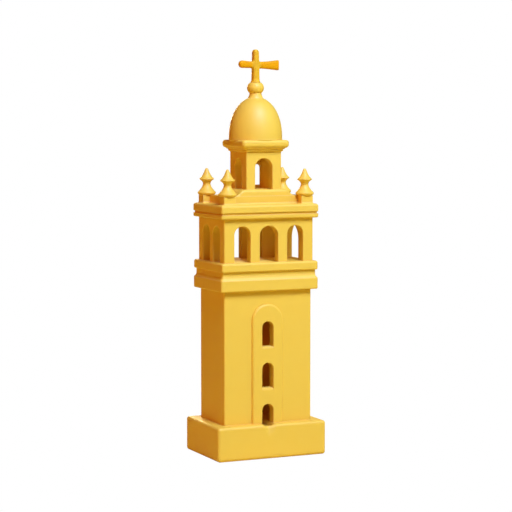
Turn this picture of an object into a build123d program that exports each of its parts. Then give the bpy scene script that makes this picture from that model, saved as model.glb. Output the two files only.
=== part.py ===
# Bell tower, a small one-colour architectural model.
#
# A hollow rectangular shaft stands on a plinth. A stepped band carries an open belfry, with three arches
# in front and two on its left side. Over its cornice stand an attic with four finials, an open lantern,
# a dome, a ball and a cross. The front faces -Y. The origin is at the middle of the plinth's underside.

import os
from math import acos, cos, radians, sin, sqrt

from build123d import *

# ---- Overall sizes, millimetres ---------------------------------------------------------------------

shaft_width = 56.6
shaft_depth = 36.0
shaft_height = 79.05
shaft_wall = 4.2
shaft_corner_radius = 0.9

plinth_height = 20.4
plinth_projection = 6.8
plinth_corner_radius = 1.9
plinth_edge_radius = 1.2

slab_corner_radius = 1.2
opening_rim_radius = 0.4

# ---- Raised panel, windows and door -----------------------------------------------------------------

panel_width = 20.0
panel_offset = -0.75
panel_crown_above_plinth = 71.2
panel_thickness = 1.6
panel_edge_radius = 1.4

window_width = 7.3
window_height = 15.0
window_pitch = 24.75
top_window_sill_above_plinth = 45.8
door_crown_above_plinth = 11.45

threshold_drop = 1.0
scoop_radius = 4.0
scoop_point_radius = 0.4
scoop_height = 8.5

# ---- Stepped band under the belfry ------------------------------------------------------------------

band_slab_height = 7.55
band_slab_projection = 3.25
band_slab_top_radius = 1.4
band_slab_bottom_radius = 0.9

band_neck_height = 4.1
band_neck_projection = 2.1

belfry_floor_height = 5.3
belfry_floor_projection = 2.35
belfry_floor_top_radius = 1.3
belfry_floor_bottom_radius = 0.9

# ---- Belfry -----------------------------------------------------------------------------------------

belfry_height = 25.8
belfry_side_projection = 0.55
belfry_face_projection = 1.4
belfry_wall = 4.9
belfry_crown_height = 21.45
middle_arch_width = 11.8
outer_arch_width = 10.3
front_pier_width = 6.05
back_arch_width = 8.6
back_pier_width = 5.2
side_arch_width = 10.3
side_pier_width = 4.8
right_arch_width = 18.6

# ---- Cornice over the belfry ------------------------------------------------------------------------

cornice_projection = 2.6
cornice_lower_height = 2.4
cornice_lower_radius = 0.9
cornice_groove_height = 1.15
cornice_groove_depth = 0.9
cornice_upper_height = 4.7
cornice_upper_top_radius = 1.5
cornice_upper_bottom_radius = 0.5

# ---- Attic, pedestals and finials -------------------------------------------------------------------

attic_height = 4.8
attic_setback_x = 4.3
attic_setback_y = 5.2

pedestal_width = 7.6
pedestal_corner_radius = 0.5

finial_foot_radius = 4.35
finial_lip_radius = 5.45
finial_lip_height = 1.5
finial_lip_round = 1.5
finial_bell_start = (-0.9, 1)
finial_neck_radius = 2.25
finial_neck_height = 6.5
finial_brim_radius = 4.4
finial_brim_height = 9.55
finial_brim_rim = 0.45
finial_brim_underside = (1, 0.55)
finial_brim_topside = (-1, 0.75)
finial_flank_radius = 1.55
finial_flank_height = 13.4
finial_tip_radius = 1.0
finial_tip_angle = radians(20)
finial_height = 16.2

# ---- Lantern ----------------------------------------------------------------------------------------

lantern_width = 22.7
lantern_depth = 24.2
lantern_height = 22.1
lantern_wall = 4.6
lantern_corner_radius = 0.6
lantern_arch_width = 11.2
lantern_side_arch_width = 10.0
lantern_niche_depth = 2.4
lantern_crown_height = 18.3
lantern_back_opening_width = 16.0
lantern_back_opening_top = 14.3
lantern_back_opening_radius = 2.2
lantern_back_sill = 1.9

lantern_base_height = 3.8
lantern_base_ledge = 2.65
lantern_base_edge_radius = 1.7
lantern_base_top_slope = (1, -0.6)
lantern_base_foot_slope = (1, -0.5)
finial_clearance = 2.0

bed_mould_height = 2.4
bed_mould_projection = 2.4
lantern_cornice_projection = 3.9
lantern_cornice_height = 4.6
lantern_cornice_corner_radius = 2.2
lantern_cornice_top_radius = 1.6
lantern_cornice_bottom_radius = 2.0

# ---- Dome, ball and cross ---------------------------------------------------------------------------

dome_overhang = 0.7
dome_rise = 25.6
dome_fullness = 2.35
collar_foot_radius = 4.75
collar_top_radius = 3.55
collar_height = 3.15
collar_foot_slope = (-0.55, 1)
collar_top_slope = (-0.1, 1)
ball_radius = 5.05
ball_half_height = 4.3

cross_height = 19.6
upright_foot_width = 4.4
upright_top_width = 3.5
upright_tip_radius = 1.5
upright_depth = 4.4
upright_edge_radius = 1.2
bar_above_foot = 10.45
bar_left_reach = 10.8
bar_left_height = 4.9
bar_left_lift = 0.5
bar_left_round = 2.1
bar_middle_height = 3.95
bar_right_reach = 15.0
bar_right_height = 6.3
bar_right_round = 1.4
bar_depth = 3.6
bar_edge_radius = 1.1
cross_foot_flare = 1.2
cross_foot_height = 2.0
cross_foot_inset = 0.4

# ---- Levels, worked out from the sizes above --------------------------------------------------------

band_slab_bottom = plinth_height + shaft_height
band_neck_bottom = band_slab_bottom + band_slab_height
belfry_floor_bottom = band_neck_bottom + band_neck_height
belfry_bottom = belfry_floor_bottom + belfry_floor_height
cornice_lower_bottom = belfry_bottom + belfry_height
cornice_upper_bottom = cornice_lower_bottom + cornice_lower_height
attic_bottom = cornice_upper_bottom + cornice_groove_height + cornice_upper_height
lantern_base_bottom = attic_bottom + attic_height
lantern_bottom = lantern_base_bottom + lantern_base_height
bed_mould_bottom = lantern_bottom + lantern_height
lantern_cornice_bottom = bed_mould_bottom + bed_mould_height
dome_bottom = lantern_cornice_bottom + lantern_cornice_height

belfry_width = shaft_width + 2 * belfry_side_projection
belfry_depth = shaft_depth + 2 * belfry_face_projection
lantern_cornice_width = lantern_width + 2 * lantern_cornice_projection
lantern_cornice_depth = lantern_depth + 2 * lantern_cornice_projection
dome_radius = lantern_cornice_width / 2 + dome_overhang

dome_seat_height = dome_rise * (1 - (collar_foot_radius / dome_radius) ** 2) ** (1 / dome_fullness)
collar_bottom = dome_bottom + dome_seat_height
ball_bottom = collar_bottom + collar_height
ball_seat_drop = ball_half_height * sqrt(1 - (collar_top_radius / ball_radius) ** 2)
ball_middle = ball_bottom + ball_seat_drop
cross_seat_radius = upright_foot_width / 2 + cross_foot_flare
cross_seat_rise = ball_half_height * sqrt(1 - (cross_seat_radius / ball_radius) ** 2)
cross_bottom = ball_middle + cross_seat_rise

os.makedirs("parts", exist_ok=True)


def save(piece, name):
    """Label a finished piece and write it as one STEP file."""
    piece.label = name
    export_step(piece, f"parts/{name}.step")


def make_slab(name, width, depth, bottom, height, corner_radius, top_radius=0.0, bottom_radius=0.0):
    """A rectangular slab with rounded corners in plan and, where asked, rounded top and bottom edges."""
    with BuildPart() as slab:
        with BuildSketch(Plane.XY.offset(bottom)):
            RectangleRounded(width, depth, corner_radius)
        extrude(amount=height)
        if top_radius > 0:
            fillet(slab.faces().sort_by(Axis.Z)[-1].edges(), top_radius)
        if bottom_radius > 0:
            fillet(slab.faces().sort_by(Axis.Z)[0].edges(), bottom_radius)
    save(slab.part, name)


def round_headed(width, crown, foot=0.0, centre=0.0):
    """Return the outline of a round-headed opening, from its foot to the crown of its arch."""
    radius = width / 2
    with BuildSketch() as outline:
        with BuildLine():
            sides = Polyline(
                (centre - radius, crown - radius),
                (centre - radius, foot),
                (centre + radius, foot),
                (centre + radius, crown - radius),
            )
            ThreePointArc(sides @ 0, (centre, crown), sides @ 1)
        make_face()
    return outline.sketch


def front_plane(distance, bottom):
    """Return the upright plane that faces the front at a distance from the axis, footed at a level."""
    return Plane(origin=(0, -distance, bottom), x_dir=(1, 0, 0), z_dir=(0, -1, 0))


def opening_rims(face):
    """Return the edges of an outer face that run round its openings, leaving out its own border."""
    box = face.bounding_box()
    margin = opening_rim_radius
    between = face.edges().filter_by_position(Axis.Z, box.min.Z + margin, box.max.Z - margin)
    return between.filter_by_position(Axis.X, box.min.X + margin, box.max.X - margin)


def make_wall(name, turn, length, distance, bottom, height, thickness, corner_radius=0.0, openings=()):
    """A wall built facing the front, pierced by soft-edged openings, then turned to its own side."""
    outer_face = front_plane(distance, bottom)
    with BuildPart() as wall:
        with BuildSketch(outer_face):
            Rectangle(length, height, align=(Align.CENTER, Align.MIN))
        extrude(amount=-thickness)
        if corner_radius > 0:
            fillet(wall.edges().filter_by(Axis.Z).group_by(Axis.Y)[0], corner_radius)
        if openings:
            with BuildSketch(outer_face):
                for opening in openings:
                    add(opening)
            extrude(amount=-thickness, mode=Mode.SUBTRACT)
            fillet(opening_rims(wall.faces().sort_by(Axis.Y)[0]), opening_rim_radius)
    save(wall.part.rotate(Axis.Z, turn), name)


# ---- Plinth, with a shallow threshold and a pointed scoop below each doorway -------------------------

plinth_width = shaft_width + 2 * plinth_projection
plinth_depth = shaft_depth + 2 * plinth_projection
half_shaft_depth = shaft_depth / 2
threshold_inner = half_shaft_depth - shaft_wall
threshold_run = plinth_depth / 2 - scoop_radius / 2 - threshold_inner

with BuildPart() as plinth:
    with BuildSketch():
        RectangleRounded(plinth_width, plinth_depth, plinth_corner_radius)
    extrude(amount=plinth_height)
    fillet(plinth.faces().sort_by(Axis.Z)[-1].edges(), plinth_edge_radius)
    fillet(plinth.faces().sort_by(Axis.Z)[0].edges(), plinth_edge_radius)
    for side in (-1, 1):
        door_x = -side * panel_offset
        with Locations((door_x, side * (threshold_inner + threshold_run / 2), plinth_height)):
            Box(
                window_width,
                threshold_run,
                threshold_drop,
                align=(Align.CENTER, Align.CENTER, Align.MAX),
                mode=Mode.SUBTRACT,
            )
        with Locations((door_x, side * plinth_depth / 2, plinth_height)):
            Cone(
                scoop_point_radius,
                scoop_radius,
                scoop_height,
                align=(Align.CENTER, Align.CENTER, Align.MAX),
                mode=Mode.SUBTRACT,
            )
save(plinth.part, "plinth")

# ---- Shaft: four walls; the front and back ones run the full width and carry a raised panel ----------

upper_crown = top_window_sill_above_plinth + window_height
lower_crown = upper_crown - window_pitch

for side, turn in (("front", 0), ("back", 180)):
    outer_face = front_plane(half_shaft_depth, plinth_height)
    with BuildSketch(outer_face) as windows:
        add(round_headed(window_width, door_crown_above_plinth, centre=panel_offset))
        add(round_headed(window_width, lower_crown, lower_crown - window_height, panel_offset))
        add(round_headed(window_width, upper_crown, upper_crown - window_height, panel_offset))

    with BuildPart() as shaft_wall_piece:
        with BuildSketch(outer_face):
            Rectangle(shaft_width, shaft_height, align=(Align.CENTER, Align.MIN))
        extrude(amount=-shaft_wall)
        outer_corners = shaft_wall_piece.edges().filter_by(Axis.Z).group_by(Axis.Y)[0]
        fillet(outer_corners, shaft_corner_radius)
        extrude(windows.sketch, amount=-shaft_wall, mode=Mode.SUBTRACT)
    save(shaft_wall_piece.part.rotate(Axis.Z, turn), f"shaft_{side}_wall")

    with BuildPart() as panel:
        with BuildSketch(outer_face):
            add(round_headed(panel_width, panel_crown_above_plinth, centre=panel_offset))
        extrude(amount=panel_thickness)
        front_rim = panel.faces().sort_by(Axis.Y)[0].edges()
        raised_rim = front_rim.sort_by(Axis.Z)[1:]
        fillet(raised_rim, panel_edge_radius)
        extrude(windows.sketch, amount=panel_thickness, mode=Mode.SUBTRACT)
        fillet(opening_rims(panel.faces().sort_by(Axis.Y)[0]), opening_rim_radius)
    save(panel.part.rotate(Axis.Z, turn), f"{side}_panel")

for side, turn in (("left", -90), ("right", 90)):
    make_wall(
        f"shaft_{side}_wall",
        turn,
        shaft_depth - 2 * shaft_wall,
        shaft_width / 2,
        plinth_height,
        shaft_height,
        shaft_wall,
    )

# ---- Stepped band under the belfry ------------------------------------------------------------------

make_slab(
    "band_slab",
    shaft_width + 2 * band_slab_projection,
    shaft_depth + 2 * band_slab_projection,
    band_slab_bottom,
    band_slab_height,
    slab_corner_radius,
    band_slab_top_radius,
    band_slab_bottom_radius,
)
make_slab(
    "band_neck",
    shaft_width + 2 * band_neck_projection,
    shaft_depth + 2 * band_neck_projection,
    band_neck_bottom,
    band_neck_height,
    slab_corner_radius,
)
make_slab(
    "belfry_floor",
    belfry_width + 2 * belfry_floor_projection,
    belfry_depth + 2 * belfry_floor_projection,
    belfry_floor_bottom,
    belfry_floor_height,
    slab_corner_radius,
    belfry_floor_top_radius,
    belfry_floor_bottom_radius,
)

# ---- Belfry: three arches in front, two on the left and behind, one wide one on the right -------------

outer_arch_centre = middle_arch_width / 2 + front_pier_width + outer_arch_width / 2
back_arch_centre = (back_pier_width + back_arch_width) / 2
side_arch_centre = (side_pier_width + side_arch_width) / 2

front_arches = [
    round_headed(middle_arch_width, belfry_crown_height),
    round_headed(outer_arch_width, belfry_crown_height, centre=-outer_arch_centre),
    round_headed(outer_arch_width, belfry_crown_height, centre=outer_arch_centre),
]
back_arches = [
    round_headed(back_arch_width, belfry_crown_height, centre=-back_arch_centre),
    round_headed(back_arch_width, belfry_crown_height, centre=back_arch_centre),
]
side_arches = [
    round_headed(side_arch_width, belfry_crown_height, centre=-side_arch_centre),
    round_headed(side_arch_width, belfry_crown_height, centre=side_arch_centre),
]
right_arch = [round_headed(right_arch_width, belfry_crown_height)]

for side, turn, arches in (("front", 0, front_arches), ("back", 180, back_arches)):
    make_wall(
        f"belfry_{side}_arcade",
        turn,
        belfry_width,
        belfry_depth / 2,
        belfry_bottom,
        belfry_height,
        belfry_wall,
        shaft_corner_radius,
        arches,
    )
for side, turn, arches in (("left", -90, side_arches), ("right", 90, right_arch)):
    make_wall(
        f"belfry_{side}_arcade",
        turn,
        belfry_depth - 2 * belfry_wall,
        belfry_width / 2,
        belfry_bottom,
        belfry_height,
        belfry_wall,
        openings=arches,
    )

# ---- Cornice over the belfry: two slabs with a fine groove between them -----------------------------

cornice_width = belfry_width + 2 * cornice_projection
cornice_depth = belfry_depth + 2 * cornice_projection

make_slab(
    "cornice_lower",
    cornice_width,
    cornice_depth,
    cornice_lower_bottom,
    cornice_lower_height,
    slab_corner_radius,
    bottom_radius=cornice_lower_radius,
)

with BuildPart() as cornice_upper:
    with BuildSketch(Plane.XY.offset(cornice_upper_bottom + cornice_groove_height)):
        RectangleRounded(cornice_width, cornice_depth, slab_corner_radius)
    extrude(amount=cornice_upper_height)
    fillet(cornice_upper.faces().sort_by(Axis.Z)[-1].edges(), cornice_upper_top_radius)
    fillet(cornice_upper.faces().sort_by(Axis.Z)[0].edges(), cornice_upper_bottom_radius)
    with BuildSketch(Plane.XY.offset(cornice_upper_bottom)):
        Rectangle(cornice_width - 2 * cornice_groove_depth, cornice_depth - 2 * cornice_groove_depth)
    extrude(amount=cornice_groove_height)
save(cornice_upper.part, "cornice_upper")

# ---- Attic, with a pedestal and a turned finial at each corner --------------------------------------

attic_width = belfry_width - 2 * attic_setback_x
attic_depth = belfry_depth - 2 * attic_setback_y
pedestal_x = (belfry_width - pedestal_width) / 2
pedestal_y = (belfry_depth - pedestal_width) / 2

with BuildPart() as attic:
    with BuildSketch(Plane.XY.offset(attic_bottom)):
        Rectangle(attic_width, attic_depth)
        with GridLocations(2 * pedestal_x, 2 * pedestal_y, 2, 2):
            Rectangle(pedestal_width, pedestal_width, mode=Mode.SUBTRACT)
    extrude(amount=attic_height)
save(attic.part, "attic")

rim_shift = finial_brim_rim / 2
tip_middle = finial_height - finial_tip_radius
tip_start = (
    finial_tip_radius * cos(finial_tip_angle),
    tip_middle + finial_tip_radius * sin(finial_tip_angle),
)

for row, y_sign in (("front", -1), ("back", 1)):
    for side, x_sign in (("left", -1), ("right", 1)):
        centre = (x_sign * pedestal_x, y_sign * pedestal_y)
        with BuildPart() as pedestal:
            with BuildSketch(Plane.XY.offset(attic_bottom)):
                with Locations(centre):
                    Rectangle(pedestal_width, pedestal_width)
            extrude(amount=attic_height)
            corners = pedestal.edges().filter_by(Axis.Z)
            outer_corner = corners.sort_by_distance((0, 0, attic_bottom))[-1]
            fillet(outer_corner, pedestal_corner_radius)
        save(pedestal.part, f"pedestal_{row}_{side}")

        with BuildPart() as finial:
            with BuildSketch(Plane.XZ):
                with BuildLine():
                    foot = Line((0, 0), (finial_foot_radius, 0))
                    lip = RadiusArc(foot @ 1, (finial_lip_radius, finial_lip_height), -finial_lip_round)
                    bell = Spline(
                        lip @ 1,
                        (finial_neck_radius, finial_neck_height),
                        tangents=(finial_bell_start, (0, 1)),
                    )
                    flare = Spline(
                        bell @ 1,
                        (finial_brim_radius - rim_shift, finial_brim_height - finial_brim_rim),
                        tangents=((0, 1), finial_brim_underside),
                    )
                    rim = ThreePointArc(
                        flare @ 1,
                        (finial_brim_radius, finial_brim_height),
                        (finial_brim_radius - rim_shift, finial_brim_height + finial_brim_rim),
                    )
                    flank = Spline(
                        rim @ 1,
                        (finial_flank_radius, finial_flank_height),
                        tip_start,
                        tangents=(finial_brim_topside, (-sin(finial_tip_angle), cos(finial_tip_angle))),
                    )
                    tip = RadiusArc(flank @ 1, (0, finial_height), -finial_tip_radius)
                    Line(tip @ 1, foot @ 0)
                make_face()
            revolve(axis=Axis.Z)
        seat = Location((*centre, lantern_base_bottom))
        save(finial.part.moved(seat), f"finial_{row}_{side}")

# ---- Lantern base: flush with the attic in front and behind, sloping down to it at the sides --------

base_top_half = lantern_width / 2 + lantern_base_ledge
base_foot_half = pedestal_x - finial_lip_radius - finial_clearance
base_skirt = 2 * lantern_base_edge_radius

with BuildPart() as lantern_base:
    with BuildSketch(Plane.XZ):
        with BuildLine():
            top = Line((0, lantern_bottom), (base_top_half, lantern_bottom))
            slope = Spline(
                top @ 1,
                (base_foot_half, lantern_base_bottom),
                tangents=(lantern_base_top_slope, lantern_base_foot_slope),
            )
            skirt = Line(slope @ 1, (base_foot_half, lantern_base_bottom - base_skirt))
            Line(skirt @ 1, (0, lantern_base_bottom - base_skirt))
            mirror(about=Plane.YZ)
        make_face()
    extrude(amount=attic_depth / 2, both=True)
    long_edges = lantern_base.edges().group_by(Axis.Z)[-1]
    fillet(long_edges.filter_by(Axis.X), lantern_base_edge_radius)
    split(bisect_by=Plane.XY.offset(lantern_base_bottom), keep=Keep.TOP)
save(lantern_base.part, "lantern_base")

# ---- Lantern: arches in front and on the left, a blind one on the right, a wide opening behind ---------

with BuildSketch() as back_opening:
    with Locations((0, (lantern_back_sill + lantern_back_opening_top) / 2)):
        Rectangle(lantern_back_opening_width, lantern_back_opening_top - lantern_back_sill)
    fillet(back_opening.vertices().group_by(Axis.Y)[-1], lantern_back_opening_radius)

lantern_side_length = lantern_depth - 2 * lantern_wall
lantern_arch = round_headed(lantern_arch_width, lantern_crown_height)
lantern_side_arch = round_headed(lantern_side_arch_width, lantern_crown_height)

for side, turn, opening in (("front", 0, lantern_arch), ("back", 180, back_opening.sketch)):
    make_wall(
        f"lantern_{side}_wall",
        turn,
        lantern_width,
        lantern_depth / 2,
        lantern_bottom,
        lantern_height,
        lantern_wall,
        lantern_corner_radius,
        [opening],
    )
make_wall(
    "lantern_left_wall",
    -90,
    lantern_side_length,
    lantern_width / 2,
    lantern_bottom,
    lantern_height,
    lantern_wall,
    openings=[lantern_side_arch],
)

niche_face = front_plane(lantern_width / 2, lantern_bottom)
with BuildPart() as lantern_right_wall:
    with BuildSketch(niche_face):
        Rectangle(lantern_side_length, lantern_height, align=(Align.CENTER, Align.MIN))
    extrude(amount=-lantern_wall)
    with BuildSketch(niche_face):
        add(lantern_side_arch)
    extrude(amount=-lantern_niche_depth, mode=Mode.SUBTRACT)
    fillet(opening_rims(lantern_right_wall.faces().sort_by(Axis.Y)[0]), opening_rim_radius)
save(lantern_right_wall.part.rotate(Axis.Z, 90), "lantern_right_wall")

# ---- Lantern bed mould and cornice ------------------------------------------------------------------

with BuildPart() as bed_mould:
    with BuildSketch(Plane.XY.offset(bed_mould_bottom)):
        RectangleRounded(lantern_width, lantern_depth, lantern_corner_radius)
    with BuildSketch(Plane.XY.offset(lantern_cornice_bottom)):
        RectangleRounded(
            lantern_width + 2 * bed_mould_projection,
            lantern_depth + 2 * bed_mould_projection,
            lantern_corner_radius + bed_mould_projection / 2,
        )
    loft()
save(bed_mould.part, "lantern_bed_mould")

make_slab(
    "lantern_cornice",
    lantern_cornice_width,
    lantern_cornice_depth,
    lantern_cornice_bottom,
    lantern_cornice_height,
    lantern_cornice_corner_radius,
    lantern_cornice_top_radius,
    lantern_cornice_bottom_radius,
)

# ---- Dome, collar and ball: turned shapes that seat flat on each other -------------------------------

seat_angle = acos(collar_foot_radius / dome_radius)
dome_steps = 6


def on_dome(angle):
    """Return the point of the dome's full-shouldered outline at an angle from its springing."""
    return dome_radius * cos(angle), dome_bottom + dome_rise * sin(angle) ** (2 / dome_fullness)


dome_seat_slope = Vector(*on_dome(seat_angle)) - Vector(*on_dome(seat_angle - radians(1)))

with BuildPart() as dome:
    with BuildSketch(Plane.XZ):
        with BuildLine():
            foot = Line((0, dome_bottom), (dome_radius, dome_bottom))
            shell = Spline(
                *[on_dome(seat_angle * step / dome_steps) for step in range(dome_steps + 1)],
                tangents=((0, 1), dome_seat_slope),
            )
            seat = Line(shell @ 1, (0, collar_bottom))
            Line(seat @ 1, foot @ 0)
        make_face()
    revolve(axis=Axis.Z)
save(dome.part, "dome")

with BuildPart() as dome_collar:
    with BuildSketch(Plane.XZ):
        with BuildLine():
            foot = Line((0, collar_bottom), (collar_foot_radius, collar_bottom))
            side = Spline(
                foot @ 1,
                (collar_top_radius, ball_bottom),
                tangents=(collar_foot_slope, collar_top_slope),
            )
            crown = Line(side @ 1, (0, ball_bottom))
            Line(crown @ 1, foot @ 0)
        make_face()
    revolve(axis=Axis.Z)
save(dome_collar.part, "dome_collar")

with BuildPart() as ball:
    with BuildSketch(Plane.XZ):
        with Locations((0, ball_middle)):
            Ellipse(ball_radius, ball_half_height)
        with Locations((0, ball_bottom)):
            Rectangle(
                ball_radius,
                cross_bottom - ball_bottom,
                align=(Align.MIN, Align.MIN),
                mode=Mode.INTERSECT,
            )
    revolve(axis=Axis.Z)
save(ball.part, "ball")

# ---- Cross: a tapered upright; the bar ends in a round nose on the left and a flare on the right ------

bar_middle = cross_bottom + bar_above_foot
bar_left_middle = bar_middle + bar_left_lift

with BuildPart() as bar:
    with BuildSketch(Plane.XZ):
        with BuildLine():
            upper = ThreePointArc(
                (-bar_left_reach, bar_left_middle + bar_left_height / 2),
                (0, bar_middle + bar_middle_height / 2),
                (bar_right_reach, bar_middle + bar_right_height / 2),
            )
            lower = ThreePointArc(
                (-bar_left_reach, bar_left_middle - bar_left_height / 2),
                (0, bar_middle - bar_middle_height / 2),
                (bar_right_reach, bar_middle - bar_right_height / 2),
            )
            Line(upper @ 0, lower @ 0)
            Line(upper @ 1, lower @ 1)
        outline = make_face()
        fillet(outline.vertices().group_by(Axis.X)[0], bar_left_round)
        fillet(outline.vertices().group_by(Axis.X)[-1], bar_right_round)
    extrude(amount=bar_depth / 2, both=True)
    fillet(bar.faces().filter_by(Axis.Y).edges(), bar_edge_radius)

with BuildPart() as cross:
    with BuildSketch(Plane.XZ):
        with BuildLine():
            Polyline(
                (-upright_foot_width / 2, cross_bottom),
                (-upright_top_width / 2, cross_bottom + cross_height),
                (upright_top_width / 2, cross_bottom + cross_height),
                (upright_foot_width / 2, cross_bottom),
                close=True,
            )
        upright = make_face()
        fillet(upright.vertices().group_by(Axis.Y)[-1], upright_tip_radius)
    extrude(amount=upright_depth / 2, both=True)
    face_rims = cross.faces().filter_by(Axis.Y).edges()
    free_rims = face_rims.filter_by_position(Axis.Z, cross_bottom, cross_bottom + cross_height, (False, True))
    fillet(free_rims, upright_edge_radius)
    with BuildSketch(Plane.XZ):
        with BuildLine():
            foot = Line((0, cross_bottom), (cross_seat_radius, cross_bottom))
            sweep_up = Line(
                foot @ 1,
                (upright_foot_width / 2 - cross_foot_inset, cross_bottom + cross_foot_height),
            )
            crown = Line(sweep_up @ 1, (0, cross_bottom + cross_foot_height))
            Line(crown @ 1, foot @ 0)
        make_face()
    revolve(axis=Axis.Z)
    add(bar.part)
save(cross.part, "cross")
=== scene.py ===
# %% [markdown]
# # A one-colour model bell tower
# The tower is a small ornament, cast in one soft matte yellow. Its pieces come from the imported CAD
# model, ready made and in place, so this lesson is about what the caster and the light would add: the
# soft joints and sills that a mould leaves, the turned finials, the finish, and the lamps. Each is made
# with the tool that suits it.

from math import cos, pi, radians, sin

import bmesh
import bpy
from mathutils import Matrix, Vector


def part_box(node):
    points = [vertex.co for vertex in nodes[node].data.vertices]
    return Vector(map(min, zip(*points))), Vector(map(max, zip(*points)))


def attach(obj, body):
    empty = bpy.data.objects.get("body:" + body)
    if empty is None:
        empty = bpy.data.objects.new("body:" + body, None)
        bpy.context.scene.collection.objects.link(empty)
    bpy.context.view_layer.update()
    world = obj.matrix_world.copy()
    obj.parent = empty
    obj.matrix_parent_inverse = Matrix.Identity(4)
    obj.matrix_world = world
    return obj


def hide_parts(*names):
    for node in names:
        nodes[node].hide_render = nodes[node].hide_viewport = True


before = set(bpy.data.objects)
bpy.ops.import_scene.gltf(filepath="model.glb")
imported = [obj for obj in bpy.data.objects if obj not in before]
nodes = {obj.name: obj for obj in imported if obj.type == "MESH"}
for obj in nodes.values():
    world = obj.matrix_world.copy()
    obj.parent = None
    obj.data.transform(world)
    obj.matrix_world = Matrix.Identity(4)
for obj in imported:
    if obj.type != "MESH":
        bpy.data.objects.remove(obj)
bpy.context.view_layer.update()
mm = 0.001
scene = bpy.context.scene

# %% [markdown]
# ## The camera
# A tall thing looks best through a long lens from a fair distance, because its uprights then stay
# nearly parallel. The camera stands to the left of the front, a little above the middle of the tower,
# and looks slightly down, so that the front and the left side both show and the ledges catch the light.

# %% Camera
def add_to_scene(name, data):
    """Make an object for a mesh, a camera or a lamp, and put it in the scene."""
    made = bpy.data.objects.new(name, data)
    scene.collection.objects.link(made)
    return made


view_turn = radians(24.5)
view_drop = radians(4.6)
view_distance = 1.08
aim = Vector((0.3 * mm, -0.1 * mm, 118.6 * mm))

looking = Vector((sin(view_turn) * cos(view_drop), cos(view_turn) * cos(view_drop), -sin(view_drop)))
camera_data = bpy.data.cameras.new("camera")
camera_data.lens = 126.6
camera_data.sensor_width = 36.0
camera = add_to_scene("camera", camera_data)
camera.location = aim - looking * view_distance
camera.rotation_euler = looking.to_track_quat("-Z", "Y").to_euler()
scene.camera = camera
print("camera at", [round(v, 3) for v in camera.location])

# %% [markdown]
# ## A bench for node trees
# Four short helpers keep the node cells readable. They start a tree with named sockets, add a node
# with its settings, join two sockets, and set a modifier's input. A modifier knows its inputs only by
# the socket's identifier, so the last one looks the identifier up by the name that a reader sees.

# %% Helpers for node trees
def start_tree(name, kind, inputs=(), outputs=()):
    """Make a node tree with named sockets, and return it with its input and output nodes."""
    tree = bpy.data.node_groups.new(name, kind)
    for direction, sockets in (("INPUT", inputs), ("OUTPUT", outputs)):
        for label, socket_type, *value in sockets:
            socket = tree.interface.new_socket(label, in_out=direction, socket_type=socket_type)
            if value:
                socket.default_value = value[0]
    return tree, tree.nodes.new("NodeGroupInput"), tree.nodes.new("NodeGroupOutput")


def add_node(tree, kind, **settings):
    """Add a node, and set its options and the values of its named sockets."""
    node = tree.nodes.new(kind)
    for key, value in settings.items():
        if hasattr(node, key):
            setattr(node, key, value)
        else:
            node.inputs[key.replace("_", " ").title()].default_value = value
    return node


def join(tree, start, end):
    """Link an output socket to an input socket."""
    tree.links.new(start, end)


def set_input(modifier, label, value):
    """Set a modifier's input by the name that its tree gives it."""
    for item in modifier.node_group.interface.items_tree:
        if item.item_type == "SOCKET" and item.in_out == "INPUT" and item.name == label:
            modifier[item.identifier] = value


print("helpers: start_tree, add_node, join, set_input")

# %% [markdown]
# ## Fine grain
# A matte casting is never quite even. Under a lens its skin has a fine tooth from the mould, broad
# faint clouds where the pigment settled, and small shallow dips. The texture could be an image, but
# layered noise on the piece's own coordinates has no seams and stays sharp at any distance, so one
# shader group makes all three, and every finish on the tower uses it with its own strengths.

# %% Shader group: cast grain
cast_grain, grain_in, grain_out = start_tree(
    "cast_grain",
    "ShaderNodeTree",
    inputs=(
        ("Cloud Size", "NodeSocketFloat", 9.0 * mm),
        ("Tooth Size", "NodeSocketFloat", 0.45 * mm),
        ("Dip Size", "NodeSocketFloat", 3.0 * mm),
    ),
    outputs=(("Clouds", "NodeSocketFloat"), ("Tooth", "NodeSocketFloat"), ("Height", "NodeSocketFloat")),
)
grain_place = add_node(cast_grain, "ShaderNodeTexCoord")


def noise_layer(tree, place, size_socket, detail, roughness):
    """Add a noise texture whose lumps are as large as a size socket says."""
    per_metre = add_node(tree, "ShaderNodeMath", operation="DIVIDE")
    per_metre.inputs[0].default_value = 1.0
    join(tree, size_socket, per_metre.inputs[1])
    noise = add_node(tree, "ShaderNodeTexNoise", detail=detail, roughness=roughness)
    join(tree, place, noise.inputs["Vector"])
    join(tree, per_metre.outputs[0], noise.inputs["Scale"])
    return noise.outputs["Fac"]


dips_to_tooth = 4.0
on_piece = grain_place.outputs["Object"]
clouds = noise_layer(cast_grain, on_piece, grain_in.outputs["Cloud Size"], 3.0, 0.55)
tooth = noise_layer(cast_grain, on_piece, grain_in.outputs["Tooth Size"], 2.0, 0.5)
dips = noise_layer(cast_grain, on_piece, grain_in.outputs["Dip Size"], 2.0, 0.5)
height = add_node(cast_grain, "ShaderNodeMath", operation="MULTIPLY_ADD")
height.inputs[1].default_value = dips_to_tooth
join(cast_grain, dips, height.inputs[0])
join(cast_grain, tooth, height.inputs[2])
join(cast_grain, clouds, grain_out.inputs["Clouds"])
join(cast_grain, tooth, grain_out.inputs["Tooth"])
join(cast_grain, height.outputs[0], grain_out.inputs["Height"])
print("cast grain:", len(cast_grain.nodes), "nodes")
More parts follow.
